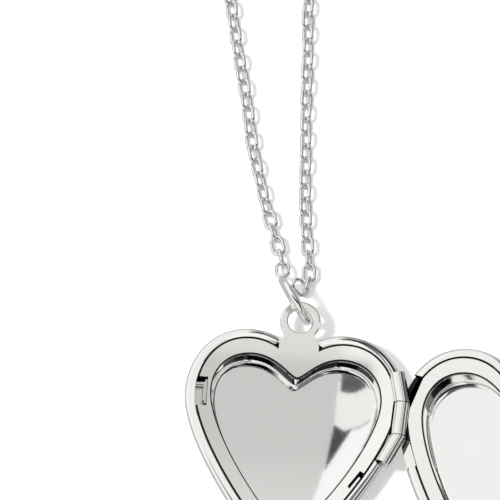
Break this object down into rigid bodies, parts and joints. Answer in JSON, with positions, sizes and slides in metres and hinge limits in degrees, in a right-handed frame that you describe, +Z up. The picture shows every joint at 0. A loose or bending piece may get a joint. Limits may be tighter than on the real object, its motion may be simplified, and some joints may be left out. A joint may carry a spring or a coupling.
{
  "type": "locket",
  "caption": "Heart locket lying open: hinged domed halves with photo wells, a snap catch, and a bail and jump ring on a fine cable chain whose far end is coiled.",
  "frame": {"origin": "the middle of the back shell's flat crown, where the open locket rests on a surface", "axes": "+Z up out of the back half's photo well; +Y from the heart's tip to the bail and the chain; +X across the back half towards the hinge and the front half"},
  "size_m": [0.0514, 0.0959, 0.0108],
  "materials": {
    "polished_silver": "bright polished silver plate",
    "mirror_silver": "mirror polished silver plate",
    "spring_wire": "drawn spring wire and strip",
    "link_chain": "bright polished links",
    "tie_strip": "matt white strip"
  },
  "bodies": {
    "back": {"back_shell": "polished_silver", "back_frame": "polished_silver", "back_well": "mirror_silver", "knuckle_upper": "polished_silver", "knuckle_lower": "polished_silver", "hinge_pin": "spring_wire", "catch_tongue": "spring_wire", "chain_left": "link_chain", "chain_right": "link_chain", "chain_coil": "link_chain", "coil_tie": "tie_strip", "clasp_ring": "polished_silver", "end_ring": "polished_silver"},
    "front": {"front_shell": "polished_silver", "front_frame": "polished_silver", "front_well": "mirror_silver", "knuckle_middle": "polished_silver", "catch_nib": "spring_wire"},
    "jump_ring": {"jump_ring": "polished_silver"},
    "clasp_bolt": {"clasp_bolt": "spring_wire"}
  },
  "joints": [
    {"name": "front_hinge", "type": "hinge", "parent": "back", "child": "front", "pos_m": [0.0116, 0.00425, 0.0033], "axis": [-0.0732, -0.9973, 0], "range_deg": [0, 163]},
    {"name": "jump_ring_swing", "type": "hinge", "parent": "back", "child": "jump_ring", "pos_m": [-0.0008, 0.01695, 0.0034], "axis": [-0.5592, 0.829, 0], "range_deg": [0, 25]},
    {"name": "clasp_bolt_slide", "type": "hinge", "parent": "back", "child": "clasp_bolt", "pos_m": [-0.0044, 0.0695, 0.00065], "axis": [0, 0, 1], "range_deg": [0, 46], "stiffness_Nm_per_rad": 0.004, "springref_deg": -17.19}
  ]
}
